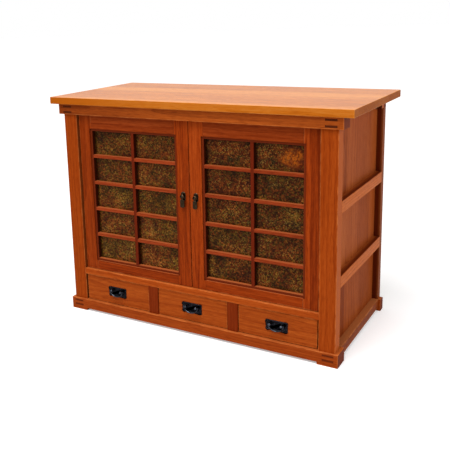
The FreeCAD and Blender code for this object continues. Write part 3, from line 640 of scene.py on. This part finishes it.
drawerPull = {"front": -0.9, "most": 0.99, "turns": 3, "edge": 0.0013, "thick": 0.003, "corner": 0.003,
              "rim": 0.0024, "border": 0.0028, "slope": 0.0008, "sink": 0.0007,
              "post": 0.0047, "dome": 0.0024, "domeTurns": 3, "spread": 0.022, "seat": 0.001,
              "collar": 0.0066, "collarDeep": 0.003, "collarEase": 0.0011, "collarTurns": 2,
              "hinge": 0.0035, "bar": 0.0025, "barSides": 12, "swell": 0.5, "steps": 24,
              "catch": 1.05, "pin": 0.002, "pinFrom": 0.02, "ease": 0.0006}


def makeDrawerPull(side):
    look = drawerPull
    low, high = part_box(side + "_drawer_pull_plate")
    reach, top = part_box(side + "_drawer_bail")
    middle, axisY, axisZ = (low.x + high.x) / 2, (reach.y + top.y) / 2, top.z - look["hinge"]
    face = high.y - look["thick"]
    seat = face + look["seat"]
    left = middle - look["spread"]
    plate = backPlate("plate", low, high, look)
    post = barrel("post", (left, (seat + low.y) / 2, axisZ), look["post"], seat - low.y, "y")
    choose(post, "EDGE", lambda a, b: max(a.y, b.y) < low.y + near)
    bpy.ops.mesh.bevel(offset=look["dome"], segments=look["domeTurns"])
    done()
    collarAt = (left, seat - look["collarDeep"] / 2, axisZ)
    collar = barrel("collar", collarAt, look["collar"], look["collarDeep"], "y")
    choose(collar, "EDGE", lambda a, b: max(a.y, b.y) < face - look["collarDeep"] / 2)
    bpy.ops.mesh.bevel(offset=look["collarEase"], segments=look["collarTurns"])
    done()
    over = (look["spread"] * 2, 0, 0)
    plate = welded("plate", [plate, post, collar, copied(post, "post", over),
                             copied(collar, "collar", over)])

    arm = (top.x - reach.x) / 2 - look["bar"]
    drop = axisZ - reach.z - look["bar"]
    bpy.ops.object.select_all(action="DESELECT")
    bpy.ops.mesh.primitive_circle_add(vertices=look["barSides"], radius=look["bar"],
                                      location=(middle - arm, axisY, axisZ))
    bail = settled("bail")
    choose(bail, "VERT", lambda v: True)
    bpy.ops.mesh.spin(steps=look["steps"], angle=math.pi, center=(middle, axisY, axisZ), axis=(0, 1, 0))
    done()
    # the bar swells towards the middle of its sweep, then the half ring is pressed to its drop
    for step in range(look["steps"] + 1):
        turn = math.pi * step / look["steps"]
        hub = Vector((middle - arm * math.cos(turn), axisY, axisZ - arm * math.sin(turn)))
        fat = 1 + look["swell"] * math.sin(turn) ** 2
        choose(bail, "VERT", lambda v: (v.co - hub).length < look["bar"] * look["catch"])
        bpy.ops.transform.resize(value=(fat, fat, fat), center_override=hub)
        done()
    choose(bail, "VERT", lambda v: True)
    bpy.ops.transform.resize(value=(1, 1, drop / arm), center_override=(middle, axisY, axisZ))
    done()
    for sign in (-1, 1):
        choose(bail, "EDGE", lambda a, b: min(a.z, b.z) > axisZ - near and (a.x - middle) * sign > 0)
        bpy.ops.mesh.extrude_region_move(TRANSFORM_OT_translate={"value": (0, 0, look["hinge"])})
        bpy.ops.mesh.edge_face_add()
        done()
    soften(bail, look["ease"])
    inner = look["pinFrom"]
    pin = barrel("pin", (middle - (arm + inner) / 2, axisY, axisZ), look["pin"], arm - inner, "x", pinSides)
    return plate, welded("bail", [bail, pin, copied(pin, "pin", (arm + inner, 0, 0))])


doorPull = {"front": -0.9, "most": 0.99, "turns": 7, "edge": 0.0009, "thick": 0.002, "corner": 0.0092,
            "rim": 0.0014, "border": 0.0016, "slope": 0.0005, "sink": 0.0004, "hinge": 0.0045,
            "ball": (0.009, 0.008, 0.009), "ballUp": 0.001, "ballSides": 28, "ballRings": 18,
            "slot": 0.0045, "slotDown": 0.012, "crown": 0.003, "pin": 0.0015, "pinLong": 0.0172,
            "head": 0.0026, "headLong": 0.0016, "headAt": 0.0082, "crisp": 0.0006, "neck": 0.011,
            "half": 0.0025, "round": 0.005, "roundTurns": 4, "taper": 0.92, "ease": 0.0011, "easeTurns": 3,
            "shank": (0.0042, 0.0022), "lap": 0.002, "eye": 0.0045, "eyeLong": 0.0084, "eyeSides": 24}


def makeDoorPull(side):
    look = doorPull
    low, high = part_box(side + "_door_pull_boss")
    reach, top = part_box(side + "_door_pull_drop")
    x, axisY, axisZ = (low.x + high.x) / 2, (reach.y + top.y) / 2, top.z - look["hinge"]
    plate = backPlate("plate", low, high, look)
    ballZ = axisZ + look["ballUp"]
    bpy.ops.object.select_all(action="DESELECT")
    bpy.ops.mesh.primitive_uv_sphere_add(segments=look["ballSides"], ring_count=look["ballRings"],
                                         radius=1.0, scale=look["ball"],
                                         location=(x, low.y + look["ball"][1], ballZ))
    ball = settled("ball")
    cutter = block("cutter", (x - look["slot"], low.y - look["thick"], axisZ - look["slotDown"]),
                   (x + look["slot"], high.y - look["thick"], ballZ + look["ball"][2] - look["crown"]))
    pick(ball)
    tool = ball.modifiers.new("slot", "BOOLEAN")
    tool.operation, tool.object = "DIFFERENCE", cutter
    bpy.ops.object.modifier_apply(modifier="slot")
    bpy.data.objects.remove(cutter)
    soften(ball, look["crisp"])
    pin = barrel("pin", (x, axisY, axisZ), look["pin"], look["pinLong"], "x", pinSides)
    head = barrel("head", (x - look["headAt"], axisY, axisZ), look["head"], look["headLong"], "x", pinSides)
    soften(head, look["crisp"])
    boss = welded("boss", [plate, ball, pin, head, copied(head, "head", (look["headAt"] * 2, 0, 0))])

    neck, half = axisZ - look["neck"], look["half"]
    drop = block("drop", (reach.x, axisY - half, reach.z), (top.x, axisY + half, neck))
    choose(drop, "EDGE", lambda a, b: abs(a.y - b.y) > half and a.z < reach.z + near)
    bpy.ops.mesh.bevel(offset=look["round"], segments=look["roundTurns"])
    done()
    choose(drop, "VERT", lambda v: v.co.z > neck - near * 10)
    bpy.ops.transform.resize(value=(look["taper"], 1, 1), center_override=(x, axisY, axisZ))
    done()
    soften(drop, look["ease"], look["easeTurns"])
    wide, deep = look["shank"]
    shank = block("shank", (x - wide, axisY - deep, neck - look["lap"]), (x + wide, axisY + deep, axisZ))
    soften(shank, look["crisp"])
    eye = barrel("eye", (x, axisY, axisZ), look["eye"], look["eyeLong"], "x", look["eyeSides"])
    soften(eye, look["crisp"])
    return boss, welded("drop", [drop, shank, eye])


plate, bail = makeDrawerPull("left")
drawers = {side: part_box(side + "_drawer_front")[0].y for side in ("left", "centre", "right")}
hang(plate, "_drawer_pull_plate", "_drawer",
     {side: ironFinish(side + "_plate_iron", blackIron, face) for side, face in drawers.items()})
hang(bail, "_drawer_bail", "_drawer_bail",
     {side: ironFinish(side + "_bail_iron", rubbedAndLitIron, face) for side, face in drawers.items()})
boss, drop = makeDoorPull("left")
doorIrons = {side: ironFinish(side + "_door_iron", brownIron, 0.0) for side in ("left", "right")}
hang(boss, "_door_pull_boss", "_door", doorIrons)
hang(drop, "_door_pull_drop", "_door_pull", doorIrons)
print("forged pulls done")

# studio: white ground and an even sky; most light comes from high in front, a little from the right
studio = {"sky": 0.5, "ground": "#EFEFEF", "radius": 40.0, "sides": 96, "dust": "#D8D8D8",
          "dustSize": ((60.0, 60.0, 60.0), 3.0, 0.5), "dustDepth": 0.04, "rough": 0.8, "ior": 1.1,
          "nearGlow": 0.36, "farGlow": 0.62, "fade": (0.9, 4.5)}
lamps = {"front_lamp": {"at": (0.2, -3.9, 3.9), "aim": (0.0, 0.0, 0.45), "size": 2.2, "watts": 34.0},
         "side_lamp": {"at": (4.2, -0.9, 2.4), "aim": (0.5, 0.0, 0.45), "size": 2.4, "watts": 54.0},
         "top_lamp": {"at": (-0.25, -1.8, 4.6), "aim": (0.0, -0.2, 0.6), "size": 2.6, "watts": 168.0}}
view = {"place": (1.2518, -2.4182, 1.1952), "turn": (1.35513, 0.03358, 0.54712), "sensor": 36.0,
        "lens": 56.468, "shift": (0.12508, -0.12835)}


# what is seen straight, in a gloss or through glass
def seenBy(wire):
    rays = wire.make("ShaderNodeLightPath").socket.node.outputs
    straight, glossy, through = [Wire(rays["Is " + kind + " Ray"])
                                 for kind in ("Camera", "Glossy", "Transmission")]
    return straight.higher(glossy).higher(through)


bpy.ops.object.select_all(action="DESELECT")
bpy.ops.mesh.primitive_circle_add(vertices=studio["sides"], radius=studio["radius"], fill_type="NGON",
                                  location=(0, 0, 0))
ground = bpy.context.object
ground.name = "studio_ground"
finish, shader, at = newFinish("studio_ground_finish")[:3]
dust = at.noise(*studio["dustSize"]) * studio["dustDepth"]
x, y = at.split()[:2]
away = (x * x + y * y).root().eased(*studio["fade"])   # the lamps fall off, the white doesn't
glow = away * (studio["farGlow"] - studio["nearGlow"]) + studio["nearGlow"]
plug(shader, {"Base Color": dust.between(tint(studio["ground"]), tint(studio["dust"])),
              "Roughness": studio["rough"], "IOR": studio["ior"], "Emission Strength": 1.0,
              "Emission Color": (seenBy(at) * glow).between((0, 0, 0, 1), (1, 1, 1, 1))})
dress(ground, finish)

world = bpy.data.worlds.new("studio_sky")
bpy.context.scene.world = world
world.use_nodes = True
sky = world.node_tree.nodes["Background"]
plug(sky, {"Color": (1, 1, 1, 1),
           "Strength": seenBy(Wire(sky.outputs[0])) * (1 - studio["sky"]) + studio["sky"]})

for name, lit in lamps.items():
    bpy.ops.object.light_add(type="AREA", location=lit["at"])
    lamp = bpy.context.object
    lamp.name = name
    lamp.data.size = lit["size"]
    lamp.data.energy = lit["watts"]
    lamp.rotation_euler = (Vector(lit["aim"]) - lamp.location).to_track_quat("-Z", "Y").to_euler()

bpy.ops.object.camera_add(location=view["place"], rotation=view["turn"])
camera = bpy.context.object
camera.name = "photo_camera"
camera.data.sensor_width = view["sensor"]
camera.data.lens = view["lens"]
camera.data.shift_x, camera.data.shift_y = view["shift"]
bpy.context.scene.camera = camera
bpy.context.scene.view_settings.view_transform = "Standard"
print("studio and camera done")
